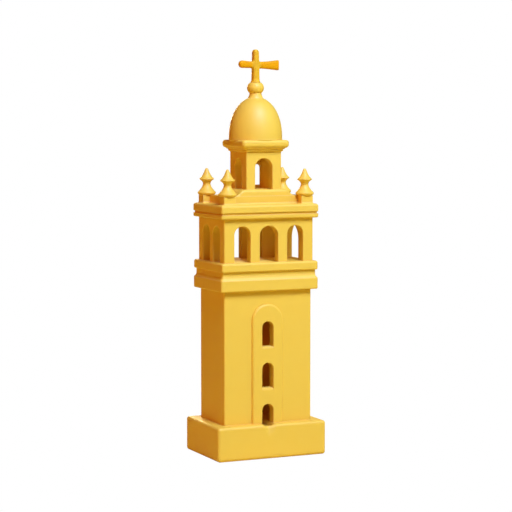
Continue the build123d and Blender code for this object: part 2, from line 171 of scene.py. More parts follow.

# %% [markdown]
# ## Painted highlights on edges and painted shade in hollows
# Two more effects are light and shade painted into the colour. The outer edges are painted a little paler,
# a painted highlight where they catch the light, and the hollows, where shade falls, are painted a
# deeper tone, a painted shade. Both could be painted by hand. Here a Bevel node finds the edges, where
# its rounded normal leaves the true one, and an Ambient Occlusion node finds the hollows, so both follow
# the shape by themselves.

# %% Shader group: painted highlight on edges, painted shade in hollows
painted_highlight_and_shade, shape_in, shape_out = start_tree(
    "painted_highlight_and_shade",
    "ShaderNodeTree",
    inputs=(
        ("Edge Radius", "NodeSocketFloat", 0.7 * mm),
        ("Hollow Depth", "NodeSocketFloat", 9.0 * mm),
    ),
    outputs=(("Edge", "NodeSocketFloat"), ("Hollow", "NodeSocketFloat")),
)
rounded = add_node(painted_highlight_and_shade, "ShaderNodeBevel", samples=6)
surface = add_node(painted_highlight_and_shade, "ShaderNodeNewGeometry")
agree = add_node(painted_highlight_and_shade, "ShaderNodeVectorMath", operation="DOT_PRODUCT")
# Mask for the painted highlight: high on the edges, where the rounded normal leaves the true one.
painted_highlight_mask = add_node(painted_highlight_and_shade, "ShaderNodeMapRange", from_min=0.995, from_max=0.85)
# Mask for the painted shade: high in the hollows that ambient occlusion finds.
open_sky = add_node(painted_highlight_and_shade, "ShaderNodeAmbientOcclusion", samples=8)
painted_shade_mask = add_node(painted_highlight_and_shade, "ShaderNodeMapRange", from_min=0.75, from_max=0.15)
join(painted_highlight_and_shade, shape_in.outputs["Edge Radius"], rounded.inputs["Radius"])
join(painted_highlight_and_shade, rounded.outputs["Normal"], agree.inputs[0])
join(painted_highlight_and_shade, surface.outputs["Normal"], agree.inputs[1])
join(painted_highlight_and_shade, agree.outputs["Value"], painted_highlight_mask.inputs["Value"])
join(painted_highlight_and_shade, shape_in.outputs["Hollow Depth"], open_sky.inputs["Distance"])
join(painted_highlight_and_shade, open_sky.outputs["AO"], painted_shade_mask.inputs["Value"])
join(painted_highlight_and_shade, painted_highlight_mask.outputs["Result"], shape_out.inputs["Edge"])
join(painted_highlight_and_shade, painted_shade_mask.outputs["Result"], shape_out.inputs["Hollow"])
print("edges and hollows:", len(painted_highlight_and_shade.nodes), "nodes")

# %% [markdown]
# ## The finish
# One recipe makes both finishes. It lays the clouds, a painted shade in the hollows and a painted
# highlight on the edges over the base colour, lets the tooth break up the roughness, and turns the
# grain's height into a fine bump.
# The bump is faint: it breaks up highlights but never stands for a shape. The cross is more orange
# than the tower, and most of all on its arms, so it has one more layer that keeps off the axis.

# %% Finish recipe
mix_factor, mix_below, mix_above, mix_result = 0, 6, 7, 2  # a Mix node's sockets for colours


def mix_colour(tree, mask, below, above, strength):
    """Lay a colour over another where a mask is high, up to a strength."""
    amount = add_node(tree, "ShaderNodeMath", operation="MULTIPLY")
    amount.inputs[1].default_value = strength
    join(tree, mask, amount.inputs[0])
    mix = add_node(tree, "ShaderNodeMix", data_type="RGBA")
    mix.inputs[mix_above].default_value = (*above, 1.0)
    join(tree, amount.outputs[0], mix.inputs[mix_factor])
    join(tree, below, mix.inputs[mix_below])
    return mix.outputs[mix_result]


def off_the_axis(tree):
    """Return a mask that rises from 0 on the tower's axis to 1 beyond the cross's upright."""
    place = add_node(tree, "ShaderNodeTexCoord")
    parts = add_node(tree, "ShaderNodeSeparateXYZ")
    far = add_node(tree, "ShaderNodeMath", operation="ABSOLUTE")
    mask = add_node(tree, "ShaderNodeMapRange", from_min=1.9 * mm, from_max=3.4 * mm)
    join(tree, place.outputs["Object"], parts.inputs[0])
    join(tree, parts.outputs["X"], far.inputs[0])
    join(tree, far.outputs[0], mask.inputs["Value"])
    return mask.outputs["Result"]


def cast_finish(
    name, base, edge, painted_shade_colour, cloud, arms=None,
    painted_highlight_strength=0.5, painted_shade_strength=0.5, cloud_strength=0.35, bump=0.08, shine=0.45,
):
    """Make a matte cast finish: base, cloud and arm tones, with a painted highlight on edges and painted
    shade in hollows.
    """
    material = bpy.data.materials.new(name)
    material.use_nodes = True
    tree = material.node_tree
    shader = tree.nodes["Principled BSDF"]
    shader.inputs["Specular IOR Level"].default_value = shine
    grain = add_node(tree, "ShaderNodeGroup", node_tree=cast_grain)
    shape = add_node(tree, "ShaderNodeGroup", node_tree=painted_highlight_and_shade)
    body_colour = add_node(tree, "ShaderNodeRGB")
    body_colour.outputs[0].default_value = (*base, 1.0)
    cloud_mask = add_node(tree, "ShaderNodeMapRange", from_min=0.35, from_max=0.7)
    join(tree, grain.outputs["Clouds"], cloud_mask.inputs["Value"])
    colour = mix_colour(tree, cloud_mask.outputs["Result"], body_colour.outputs[0], cloud, cloud_strength)
    if arms:
        colour = mix_colour(tree, off_the_axis(tree), colour, arms, 1.0)
    # Painted shade: the colour is darkened towards the shade tone in the hollows that ambient occlusion
    # finds.
    colour = mix_colour(tree, shape.outputs["Hollow"], colour, painted_shade_colour, painted_shade_strength)
    # Painted highlight: the edges that the Bevel node finds are painted paler.
    colour = mix_colour(tree, shape.outputs["Edge"], colour, edge, painted_highlight_strength)
    join(tree, colour, shader.inputs["Base Color"])
    dullness = add_node(tree, "ShaderNodeMapRange", to_min=0.46, to_max=0.58)
    join(tree, grain.outputs["Tooth"], dullness.inputs["Value"])
    join(tree, dullness.outputs["Result"], shader.inputs["Roughness"])
    relief = add_node(tree, "ShaderNodeBump", strength=bump, distance=0.1 * mm)
    join(tree, grain.outputs["Height"], relief.inputs["Height"])
    join(tree, relief.outputs["Normal"], shader.inputs["Normal"])
    return material


tower_yellow = cast_finish(
    "cast_tower_yellow",
    base=(0.85, 0.535, 0.05),
    # The edge colour is a painted highlight on the edges, and the hollow colour a painted shade in the
    # hollows.
    edge=(0.90, 0.63, 0.24),
    painted_shade_colour=(0.66, 0.31, 0.008),
    cloud=(0.86, 0.56, 0.06),
)
cross_yellow = cast_finish(
    "cast_cross_yellow",
    base=(0.76, 0.42, 0.02),
    # The edge colour is a painted highlight on the edges, and the hollow colour a painted shade in the
    # hollows.
    edge=(0.86, 0.56, 0.06),
    painted_shade_colour=(0.70, 0.33, 0.01),
    cloud=(0.77, 0.43, 0.02),
    arms=(0.77, 0.33, 0.001),
    painted_highlight_strength=0.6,
    painted_shade_strength=0.1,
    bump=0.02,
    shine=0.1,
)
for name, node in nodes.items():
    node.data.materials.clear()
    node.data.materials.append(cross_yellow if name == "cross" else tower_yellow)
print("finishes:", tower_yellow.name, cross_yellow.name)

# %% [markdown]
# ## From tree to plain mesh
# Every new piece ends the same way. Its modifiers are applied to a fresh mesh, doubles are merged, and
# the faces are turned outwards and shaded smooth up to a crease angle. A Weighted Normal modifier then
# lets the large faces keep a level shade right up to their soft edges. On a panel with cuts in it even
# that leaves streaks, in the long thin faces beside a cut, so it can also be told which way its level
# faces look, and their edges are kept sharp. Last, the piece is parented to the body it rides on and
# given its finish, and the CAD pieces it stands for are hidden.

# %% Helper: finish a piece
merge_distance = 0.002 * mm
degenerate_length = 0.001 * mm
level_crease = 1
level_match = 0.9999


def apply_modifiers(piece):
    """Replace a piece's mesh with what its modifiers make of it, and remove them."""
    bpy.context.view_layer.update()
    settled = piece.evaluated_get(bpy.context.evaluated_depsgraph_get())
    piece.data = bpy.data.meshes.new_from_object(settled)
    piece.modifiers.clear()
    piece.data.name = piece.name
    return piece.data


def finish_piece(piece, replaced=(), crease=32, level_way=None, finish=tower_yellow):
    """Turn a piece with modifiers into a plain, outward-facing mesh with its finish, parent it to the root
    body and hide the CAD pieces it replaces.
    """
    mesh = apply_modifiers(piece)
    work = bmesh.new()
    work.from_mesh(mesh)
    bmesh.ops.remove_doubles(work, verts=work.verts, dist=merge_distance)
    bmesh.ops.dissolve_degenerate(work, edges=work.edges, dist=degenerate_length)
    bmesh.ops.recalc_face_normals(work, faces=work.faces)
    for face in work.faces:
        face.smooth = True
    for edge in work.edges:
        bend = edge.calc_face_angle(pi)
        level = level_way and any(abs(face.normal.dot(level_way)) > level_match for face in edge.link_faces)
        edge.smooth = bend < radians(level_crease if level else crease)
    work.to_mesh(mesh)
    work.free()
    mesh.materials.clear()
    mesh.materials.append(finish)
    level_faces = piece.modifiers.new("level_faces", "WEIGHTED_NORMAL")
    level_faces.keep_sharp = True
    apply_modifiers(piece)
    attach(piece, "root")
    if replaced:
        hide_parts(*replaced)
    size = [round(value / mm, 1) for value in piece.dimensions]
    print(piece.name, "faces:", len(piece.data.polygons), "size:", size, "replaces:", list(replaced))


def outline_object(name, points, closed=True):
    """Make an object whose mesh is one outline in millimetres, to be swept or turned by a tree."""
    mesh = bpy.data.meshes.new(name)
    corners = [(across * mm, up * mm, 0.0) for across, up in points]
    sides = [(step, step + 1) for step in range(len(corners) - 1)]
    if closed:
        sides.append((len(corners) - 1, 0))
    mesh.from_pydata(corners, sides, [])
    return add_to_scene(name, mesh)


def object_from(work, name):
    """Turn a bmesh into an object of the scene."""
    mesh = bpy.data.meshes.new(name)
    work.to_mesh(mesh)
    work.free()
    return add_to_scene(name, mesh)


print("helpers: apply_modifiers, finish_piece, outline_object, object_from")

# %% [markdown]
# ## Mouldings and soft joints
# Where one block stands on another, a real casting has no razor line: the mould maker runs a small
# cove round the joint, so that the cast releases and dust has nowhere to hide. All of these run round a
# rectangle or a circle at one level, so one Geometry Nodes tree sweeps them all. The outline is the
# piece's own mesh, and the tree's inputs give the rectangle that it runs round. A second tree repeats a
# piece at the four corners, for the pedestals and the finials.

# %% Geometry Nodes: run an outline round a rectangle
ring_tree, ring_in, ring_out = start_tree(
    "run_round_rectangle",
    "GeometryNodeTree",
    inputs=(
        ("Outline", "NodeSocketGeometry"),
        ("Width", "NodeSocketFloat", 50.0 * mm),
        ("Depth", "NodeSocketFloat", 40.0 * mm),
        ("Corner Radius", "NodeSocketFloat", 1.0 * mm),
        ("Corner Steps", "NodeSocketInt", 6),
        ("Level", "NodeSocketFloat", 0.0),
        ("Finish", "NodeSocketMaterial"),
    ),
    outputs=(("Moulding", "NodeSocketGeometry"),),
)
rectangle = add_node(ring_tree, "GeometryNodeCurvePrimitiveQuadrilateral")
soft_corners = add_node(ring_tree, "GeometryNodeFilletCurve", mode="POLY")
upright = add_node(ring_tree, "GeometryNodeSetCurveNormal", mode="Z_UP")
outline_up = add_node(ring_tree, "GeometryNodeTransform", scale=(1.0, -1.0, 1.0))
outline_curve = add_node(ring_tree, "GeometryNodeMeshToCurve")
sweep = add_node(ring_tree, "GeometryNodeCurveToMesh")
lift = add_node(ring_tree, "ShaderNodeCombineXYZ")
raised = add_node(ring_tree, "GeometryNodeTransform")
ring_real = add_node(ring_tree, "GeometryNodeRealizeInstances")
ring_finish = add_node(ring_tree, "GeometryNodeSetMaterial")
join(ring_tree, ring_in.outputs["Width"], rectangle.inputs["Width"])
join(ring_tree, ring_in.outputs["Depth"], rectangle.inputs["Height"])
join(ring_tree, rectangle.outputs[0], soft_corners.inputs["Curve"])
join(ring_tree, ring_in.outputs["Corner Radius"], soft_corners.inputs["Radius"])
join(ring_tree, ring_in.outputs["Corner Steps"], soft_corners.inputs["Count"])
join(ring_tree, soft_corners.outputs[0], upright.inputs["Curve"])
join(ring_tree, upright.outputs[0], sweep.inputs["Curve"])
join(ring_tree, ring_in.outputs["Outline"], outline_up.inputs["Geometry"])
join(ring_tree, outline_up.outputs[0], outline_curve.inputs["Mesh"])
join(ring_tree, outline_curve.outputs[0], sweep.inputs["Profile Curve"])
join(ring_tree, ring_in.outputs["Level"], lift.inputs["Z"])
join(ring_tree, lift.outputs[0], raised.inputs["Translation"])
join(ring_tree, sweep.outputs[0], raised.inputs["Geometry"])
join(ring_tree, raised.outputs[0], ring_real.inputs["Geometry"])
join(ring_tree, ring_real.outputs[0], ring_finish.inputs["Geometry"])
join(ring_tree, ring_in.outputs["Finish"], ring_finish.inputs["Material"])
join(ring_tree, ring_finish.outputs[0], ring_out.inputs["Moulding"])
print("tree:", ring_tree.name, len(ring_tree.nodes), "nodes")

# %% Geometry Nodes: repeat a piece at the four corners
corner_tree, corner_in, corner_out = start_tree(
    "at_four_corners",
    "GeometryNodeTree",
    inputs=(
        ("Piece", "NodeSocketGeometry"),
        ("Spacing Across", "NodeSocketFloat", 50.0 * mm),
        ("Spacing Back", "NodeSocketFloat", 30.0 * mm),
        ("Finish", "NodeSocketMaterial"),
    ),
    outputs=(("Pieces", "NodeSocketGeometry"),),
)
four_points = add_node(corner_tree, "GeometryNodeMeshGrid", vertices_x=2, vertices_y=2)
placed = add_node(corner_tree, "GeometryNodeInstanceOnPoints")
corner_real = add_node(corner_tree, "GeometryNodeRealizeInstances")
corner_finish = add_node(corner_tree, "GeometryNodeSetMaterial")
join(corner_tree, corner_in.outputs["Spacing Across"], four_points.inputs["Size X"])
join(corner_tree, corner_in.outputs["Spacing Back"], four_points.inputs["Size Y"])
join(corner_tree, four_points.outputs["Mesh"], placed.inputs["Points"])
join(corner_tree, corner_in.outputs["Piece"], placed.inputs["Instance"])
join(corner_tree, placed.outputs[0], corner_real.inputs["Geometry"])
join(corner_tree, corner_real.outputs[0], corner_finish.inputs["Geometry"])
join(corner_tree, corner_in.outputs["Finish"], corner_finish.inputs["Material"])
join(corner_tree, corner_finish.outputs[0], corner_out.inputs["Pieces"])
print("tree:", corner_tree.name, len(corner_tree.nodes), "nodes")


# %% Helpers: run a moulding, and repeat it
def node_size(name):
    """Return a CAD node's width and depth, and its bottom and top level."""
    low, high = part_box(name)
    return high[0] - low[0], high[1] - low[1], low[2], high[2]


def run_round(piece, width, depth, corner, level, steps=6):
    """Give a piece the tree that sweeps its outline round a rectangle."""
    modifier = piece.modifiers.new("run_round", "NODES")
    modifier.node_group = ring_tree
    set_input(modifier, "Width", width)
    set_input(modifier, "Depth", depth)
    set_input(modifier, "Corner Radius", corner)
    set_input(modifier, "Corner Steps", steps)
    set_input(modifier, "Level", level)
    set_input(modifier, "Finish", tower_yellow)


def repeat_at_corners(piece, across, back):
    """Give a piece the tree that repeats it at the four corners of a rectangle."""
    modifier = piece.modifiers.new("four_corners", "NODES")
    modifier.node_group = corner_tree
    set_input(modifier, "Spacing Across", across)
    set_input(modifier, "Spacing Back", back)
    set_input(modifier, "Finish", tower_yellow)


print("helpers: node_size, run_round, repeat_at_corners")

# %% [markdown]
# ### The neck of the band
# Between the two slabs of the band the wall steps in to a neck. Its foot flows out over the rounded lip
# of the slab below in one S-shaped line, a scotia. The outline is written as distance out from the
# neck's face and height above the slab, and its last two corners lie hidden in the solid.

# %% Neck scotia
neck_width, neck_depth, neck_bottom, _ = node_size("band_neck")
neck_corner = 1.2 * mm
neck_scotia = outline_object(
    "neck_scotia",
    [(0, 1.7), (0.08, 0.95), (0.26, 0.42), (0.55, 0.02), (0.85, -0.4), (1.05, -0.85), (-0.5, -0.9),
     (-0.5, 1.7)],
)
run_round(neck_scotia, neck_width, neck_depth, neck_corner, neck_bottom)
finish_piece(neck_scotia)

# %% [markdown]
# ### Coves round the attic and its pedestals
# The attic and the four pedestals stand on the cornice in a small quarter-round cove. The pedestals'
# cove is one ring, repeated at the corners: the parts of it inside the attic are hidden in the solid.

# %% Attic and pedestal coves
cove_reach = 0.95
cove_steps = 6
cove_root = 0.3
cove_turns = [pi / 2 * step / cove_steps for step in range(cove_steps + 1)]
cove_outline = [(cove_reach * (1 - sin(turn)), cove_reach * (1 - cos(turn))) for turn in cove_turns]
cove_outline += [(-cove_root, cove_reach), (-cove_root, -cove_root), (cove_reach, -cove_root)]
attic_corner = 0.4 * mm
pedestal_corner = 0.5 * mm

attic_width, attic_depth, attic_bottom, attic_top = node_size("attic")
attic_cove = outline_object("attic_cove", cove_outline)
run_round(attic_cove, attic_width, attic_depth, attic_corner, attic_bottom)
finish_piece(attic_cove)

pedestal_width = node_size("pedestal_front_left")[0]
pedestal_low, pedestal_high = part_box("pedestal_front_right")
corner_across = pedestal_low[0] + pedestal_high[0]
corner_back = -(pedestal_low[1] + pedestal_high[1])
pedestal_coves = outline_object("pedestal_coves", cove_outline)
run_round(pedestal_coves, pedestal_width, pedestal_width, pedestal_corner, attic_bottom)
repeat_at_corners(pedestal_coves, corner_across, corner_back)
finish_piece(pedestal_coves)

# %% [markdown]
# ### The bed mould under the lantern cornice
# The lantern's cornice rests on a bed mould: a cove, a flat fillet that catches a line of light, and a
# second cove down to the wall. The CAD model has a plain slope there, so this piece replaces it.

# %% Bed mould
lantern_width = node_size("lantern_front_wall")[0]
lantern_depth = 2 * abs(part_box("lantern_front_wall")[0][1])
bed_bottom = node_size("lantern_bed_mould")[2]
bed_corner = 0.7 * mm
bed_mould = outline_object(
    "bed_mould",
    [(-4, 0), (0.2, 0), (0.45, 0.22), (0.9, 0.4), (1.15, 0.5), (1.27, 0.62), (1.31, 0.8), (1.31, 1.45),
     (1.74, 1.62), (2.05, 1.75), (2.5, 2.0), (2.8, 2.35), (2.8, 2.6), (-4, 2.6)],
)
run_round(bed_mould, lantern_width, lantern_depth, bed_corner, bed_bottom)
finish_piece(bed_mould, replaced=["lantern_bed_mould"], crease=40)

# %% [markdown]
# ### The foot of the dome
# The dome springs from the very edge of its cornice, so its foot rolls over into the cornice's rounded
# lip. A rectangle whose corner radius is half its side is a circle, so the same tree makes this ring.
# The radius is kept a hair smaller, so that the sides between the corners don't vanish.

# %% Dome foot
dome_width, _, dome_bottom, _ = node_size("dome")
least_side = 0.01 * mm
dome_corner = dome_width / 2 - least_side
dome_foot = outline_object(
    "dome_foot",
    [(0, 0.7), (0.02, 0.2), (-0.04, -0.15), (-0.2, -0.45), (-0.5, -0.75), (-1.6, -0.9), (-1.6, 0.7)],
)
run_round(dome_foot, dome_width, dome_width, dome_corner, dome_bottom, steps=40)
finish_piece(dome_foot)

# %% [markdown]
# ## The finials
# Four turned finials stand at the attic's corners. On a lathe they would be cut from one outline: a
# bell foot, a slim neck, a thin brim and a pointed cap. Blender could spin an outline, but a tree does
# it with the outline still adjustable: the outline's distance from the axis becomes the radius of a
# circle, which is swept up the axis. A Catmull-Rom spline rounds the outline between its points.

# %% Geometry Nodes: turn an outline on a lathe
lathe_tree, lathe_in, lathe_out = start_tree(
    "turn_on_lathe",
    "GeometryNodeTree",
    inputs=(
        ("Outline", "NodeSocketGeometry"),
        ("Steps Up", "NodeSocketInt", 96),
        ("Steps Round", "NodeSocketInt", 64),
        ("Level", "NodeSocketFloat", 0.0),
        ("Finish", "NodeSocketMaterial"),
    ),
    outputs=(("Turning", "NodeSocketGeometry"),),
)
open_curve = add_node(lathe_tree, "GeometryNodeMeshToCurve")
rounded_curve = add_node(lathe_tree, "GeometryNodeCurveSplineType", spline_type="CATMULL_ROM")
even_curve = add_node(lathe_tree, "GeometryNodeResampleCurve")
where = add_node(lathe_tree, "GeometryNodeInputPosition")
split_where = add_node(lathe_tree, "ShaderNodeSeparateXYZ")
keep_radius = add_node(lathe_tree, "GeometryNodeCaptureAttribute")
keep_radius.capture_items.new("FLOAT", "Radius")
height_above = add_node(lathe_tree, "ShaderNodeMath", operation="ADD")
on_axis = add_node(lathe_tree, "ShaderNodeCombineXYZ")
to_axis = add_node(lathe_tree, "GeometryNodeSetPosition")
circle = add_node(lathe_tree, "GeometryNodeCurvePrimitiveCircle", radius=1.0)
turn = add_node(lathe_tree, "GeometryNodeCurveToMesh", fill_caps=True)
lathe_real = add_node(lathe_tree, "GeometryNodeRealizeInstances")
lathe_finish = add_node(lathe_tree, "GeometryNodeSetMaterial")
join(lathe_tree, lathe_in.outputs["Outline"], open_curve.inputs["Mesh"])
join(lathe_tree, open_curve.outputs[0], rounded_curve.inputs["Curve"])
join(lathe_tree, rounded_curve.outputs[0], even_curve.inputs["Curve"])
join(lathe_tree, lathe_in.outputs["Steps Up"], even_curve.inputs["Count"])
join(lathe_tree, where.outputs[0], split_where.inputs[0])
join(lathe_tree, even_curve.outputs[0], keep_radius.inputs["Geometry"])
join(lathe_tree, split_where.outputs["X"], keep_radius.inputs["Radius"])
join(lathe_tree, split_where.outputs["Y"], height_above.inputs[0])
join(lathe_tree, lathe_in.outputs["Level"], height_above.inputs[1])
join(lathe_tree, height_above.outputs[0], on_axis.inputs["Z"])
join(lathe_tree, keep_radius.outputs["Geometry"], to_axis.inputs["Geometry"])
join(lathe_tree, on_axis.outputs[0], to_axis.inputs["Position"])
join(lathe_tree, to_axis.outputs[0], turn.inputs["Curve"])
join(lathe_tree, lathe_in.outputs["Steps Round"], circle.inputs["Resolution"])
join(lathe_tree, circle.outputs[0], turn.inputs["Profile Curve"])
join(lathe_tree, keep_radius.outputs["Radius"], turn.inputs["Scale"])
join(lathe_tree, turn.outputs[0], lathe_real.inputs["Geometry"])
join(lathe_tree, lathe_real.outputs[0], lathe_finish.inputs["Geometry"])
join(lathe_tree, lathe_in.outputs["Finish"], lathe_finish.inputs["Material"])
join(lathe_tree, lathe_finish.outputs[0], lathe_out.inputs["Turning"])
print("tree:", lathe_tree.name, len(lathe_tree.nodes), "nodes")

# %% Four finials
finial_outline = [
    (4.3, 0.0), (4.8, 0.18), (5.3, 0.75), (5.45, 1.35), (5.2, 1.85), (4.35, 2.75), (3.35, 4.0), (2.6, 5.3),
    (2.28, 6.4), (2.35, 7.2), (2.85, 8.15), (3.75, 8.9), (4.35, 9.3), (4.42, 9.55), (4.2, 9.85), (3.4, 10.6),
    (2.6, 11.7), (1.95, 12.9), (1.4, 14.1), (1.05, 15.0), (0.8, 15.55), (0.45, 15.9), (0.0, 16.0),
]
finials = outline_object("finials", finial_outline, closed=False)
lathe = finials.modifiers.new("lathe", "NODES")
lathe.node_group = lathe_tree
set_input(lathe, "Level", attic_top)
set_input(lathe, "Finish", tower_yellow)
repeat_at_corners(finials, corner_across, corner_back)
finish_piece(
    finials,
    replaced=["finial_front_left", "finial_front_right", "finial_back_left", "finial_back_right"],
    crease=50,
)

# %% [markdown]
# ## Sloping window sills
# Below each window the raised panel is cut away in a short slope, a weathered sill, which shows as a
# pale strip because it faces the sky. The panel itself is right, so a merged copy of it has two wedges
# taken out with a Boolean modifier, and the copy replaces the CAD piece. The back panel is the same,
# turned round.

# %% Panels with sills
upper_sill = 45.8
window_spacing = 24.75
plinth_width, plinth_depth, _, plinth_top = node_size("plinth")
sill_levels = [plinth_top + above * mm for above in (upper_sill, upper_sill - window_spacing)]
sill_width = 7.3 * mm
sill_drop = 0.95 * mm
wedge_above = 0.2 * mm
wedge_ahead = 1.0 * mm
window_middle = -0.75 * mm
panel_way = Vector((0, 1, 0))
skin_merge = 0.001 * mm


def merged_copy(node_name, name):
    """Copy a CAD node's mesh into a new object, with its loose triangles merged into one skin."""
    work = bmesh.new()
    work.from_mesh(nodes[node_name].data)
    bmesh.ops.remove_doubles(work, verts=work.verts, dist=skin_merge)
    return object_from(work, name)


def sill_wedges(name, face, back, middle):
    """Make the wedges to cut away below the windows of a panel between two upright planes."""
    ahead = face + (wedge_ahead if face > back else -wedge_ahead)
    slope = sill_drop / abs(face - back)
    work = bmesh.new()
    for level in sill_levels:
        top = level + wedge_above
        foot = level - (sill_drop + slope * wedge_ahead)
        corners = ((back, level), (back, top), (ahead, top), (ahead, foot))
        left, right = [
            [work.verts.new((across, y, z)) for y, z in corners]
            for across in (middle - sill_width / 2, middle + sill_width / 2)
        ]
        work.faces.new(left)
        work.faces.new(list(reversed(right)))
        for step in range(len(corners)):
            after = (step + 1) % len(corners)
            work.faces.new((left[step], right[step], right[after], left[after]))
    bmesh.ops.recalc_face_normals(work, faces=work.faces)
    return object_from(work, name)


for side, sign in (("front", -1.0), ("back", 1.0)):
    low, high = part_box(f"{side}_panel")
    face, back = (low[1], high[1]) if sign < 0 else (high[1], low[1])
    panel = merged_copy(f"{side}_panel", f"{side}_panel_with_sills")
    wedges = sill_wedges(f"{side}_wedges", face, back, -sign * window_middle)
    cut = panel.modifiers.new("sills", "BOOLEAN")
    cut.operation = "DIFFERENCE"
    cut.solver = "EXACT"
    cut.object = wedges
    finish_piece(panel, replaced=[f"{side}_panel"], level_way=panel_way)
    bpy.data.objects.remove(wedges)

# %% [markdown]
# ## The plinth and its worn steps
# The plinth is a plain block, softened all over, and below each doorway its edge is worn down into a
# shallow scoop. A worn shape has no crisp boundary, so a Boolean cut would look wrong. Instead the block
# is a fine grid of points. Each is first pulled onto a rounded block, and then the ones near a doorway
# are pressed in by an amount that fades smoothly to nothing.

# %% Places and depths on the plinth
plinth_half = Vector((plinth_width / 2, plinth_depth / 2, plinth_top / 2))
plinth_round = 1.7 * mm
round_steps = 6
coarse_gap = 1.8 * mm
fine_gap = 0.45 * mm
same_place = 7  # decimals, in metres


def stations(half, fine_from, fine_to):
    """Return positions from -half to half: close together at the ends and between two distances."""
    places = {0.0}
    for step in range(round_steps + 1):
        places.add(half - plinth_round * (1 - cos(pi / 2 * step / round_steps)))
    spot = coarse_gap
    while spot < half - plinth_round:
        places.add(spot)
        spot += fine_gap if fine_from - coarse_gap < spot < fine_to else coarse_gap
    places |= {-place for place in places}
    return sorted({round(place, same_place) for place in places})


across_places = stations(plinth_half.x, fine_from=0.0, fine_to=9.0 * mm)
back_places = stations(plinth_half.y, fine_from=6.0 * mm, fine_to=25.0 * mm)
up_places = stations(plinth_half.z, fine_from=0.0, fine_to=11.0 * mm)
print("stations:", len(across_places), "across,", len(back_places), "back,", len(up_places), "up")

# %% Wear below the doorways
door_middle = -0.75 * mm
scoop_middle = -1.9 * mm
scoop_half_width = 4.4 * mm
scoop_length = 8.0 * mm
scoop_depth = 1.5 * mm
scoop_reach = 4 * mm
scoop_narrowing = 0.8
threshold_half_width = 3.75 * mm
threshold_outer_sink = 0.7 * mm
threshold_inner_sink = 2.8 * mm
threshold_reach = 3 * mm
threshold_side = 0.8 * mm
wall_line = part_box("shaft_front_wall")[1][1]


def limit(value):
    """Keep a value between 0 and 1."""
    return min(max(value, 0.0), 1.0)


def fade(value):
    """Fall smoothly from 1 at 0 to 0 at 1 and beyond."""
    return (1 + cos(pi * limit(value))) / 2


def pressed(point):
    """Round a point of the block, and press it in near a doorway."""
    inner = Vector(
        [max(plinth_round - half, min(half - plinth_round, place)) for place, half in zip(point, plinth_half)]
    )
    away = point - inner
    rounded_point = inner + away.normalized() * plinth_round if away.length > 0 else point.copy()
    below_top = plinth_half.z - rounded_point.z
    side = -1.0 if rounded_point.y < 0 else 1.0
    across = -side * rounded_point.x
    ahead = abs(rounded_point.y)
    outward = limit((ahead + wall_line) / (plinth_half.y + wall_line))
    middle = door_middle * min(-ahead / wall_line, 1.0) + (scoop_middle - door_middle) * outward
    if ahead > plinth_half.y - scoop_reach:
        narrowing = 1 - scoop_narrowing * min(below_top / scoop_length, 1.0)
        reach = fade(abs(across - scoop_middle) / (scoop_half_width * narrowing))
        press = scoop_depth * reach * fade(below_top / scoop_length)
        rounded_point.y -= side * press * fade((plinth_half.y - ahead) / scoop_reach)
    if below_top < threshold_reach:
        edge = (abs(across - middle) - threshold_half_width + threshold_side) / threshold_side
        sink = threshold_inner_sink + (threshold_outer_sink - threshold_inner_sink) * outward
        rounded_point.z -= sink * fade(edge) * fade(below_top / threshold_reach)
    return rounded_point + Vector((0, 0, plinth_half.z))


print("wear: scoop", round(scoop_depth / mm, 1), "mm, threshold", round(threshold_inner_sink / mm, 1), "mm")

# %% Plinth
plinth_work = bmesh.new()
faces_to_make = (
    (across_places, back_places, lambda a, b, s: Vector((a, b, s * plinth_half.z))),
    (across_places, up_places, lambda a, b, s: Vector((a, s * plinth_half.y, b))),
    (back_places, up_places, lambda a, b, s: Vector((s * plinth_half.x, a, b))),
)
for first, second, place in faces_to_make:
    for sign in (-1.0, 1.0):
        rows = [[plinth_work.verts.new(pressed(place(a, b, sign))) for b in second] for a in first]
        for row, after in zip(rows, rows[1:]):
            for corner in range(len(row) - 1):
                plinth_work.faces.new((row[corner], after[corner], after[corner + 1], row[corner + 1]))
worn_plinth = object_from(plinth_work, "worn_plinth")
finish_piece(worn_plinth, replaced=["plinth"], crease=60)

# %% [markdown]
# ## The lantern's base
# The lantern stands on a low block that is flush with the attic in front and behind, and sweeps down at
# the sides to the feet of the finials. The CAD block stops a little short of them. This one is a loft:
# a row of points runs from front to back at each step across, over a rounded edge, a flat top and a
# rounded edge, and the rows follow the sweep down to the sides.

# %% Lantern base
base_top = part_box("lantern_base")[1][2]
base_height = base_top - attic_top
base_half_depth = attic_depth / 2
base_edge = 1.7 * mm
edge_steps = 8
least_rise = 0.02 * mm
sweep_start = 13.4 * mm
sweep_end = 19.4 * mm
sweep_steps = 14


def base_rise(across):
    """Return how high the base stands above the attic at a distance across from its middle."""
    run = (abs(across) - sweep_start) / (sweep_end - sweep_start)
    return base_height * fade(run) + least_rise


base_across = [-sweep_end + (sweep_end - sweep_start) * step / sweep_steps for step in range(sweep_steps + 1)]
base_across += [0.0] + [-place for place in reversed(base_across)]
base_work = bmesh.new()
rows = []
for across in base_across:
    rise = base_rise(across)
    edge = min(base_edge, rise)
    half = [(base_half_depth, 0.0), (base_half_depth, rise - edge)]
    for step in range(1, edge_steps + 1):
        turn_angle = pi / 2 * step / edge_steps
        half.append((base_half_depth - edge * (1 - cos(turn_angle)), rise - edge * (1 - sin(turn_angle))))
    row = [(-y, z) for y, z in half] + [(y, z) for y, z in reversed(half)]
    rows.append([base_work.verts.new((across, y, attic_top + z)) for y, z in row])
for row, after in zip(rows, rows[1:]):
    for corner in range(len(row)):
        following = (corner + 1) % len(row)
        base_work.faces.new((row[corner], after[corner], after[following], row[following]))
base_work.faces.new(rows[0])
base_work.faces.new(rows[-1])
swept_base = object_from(base_work, "swept_base")
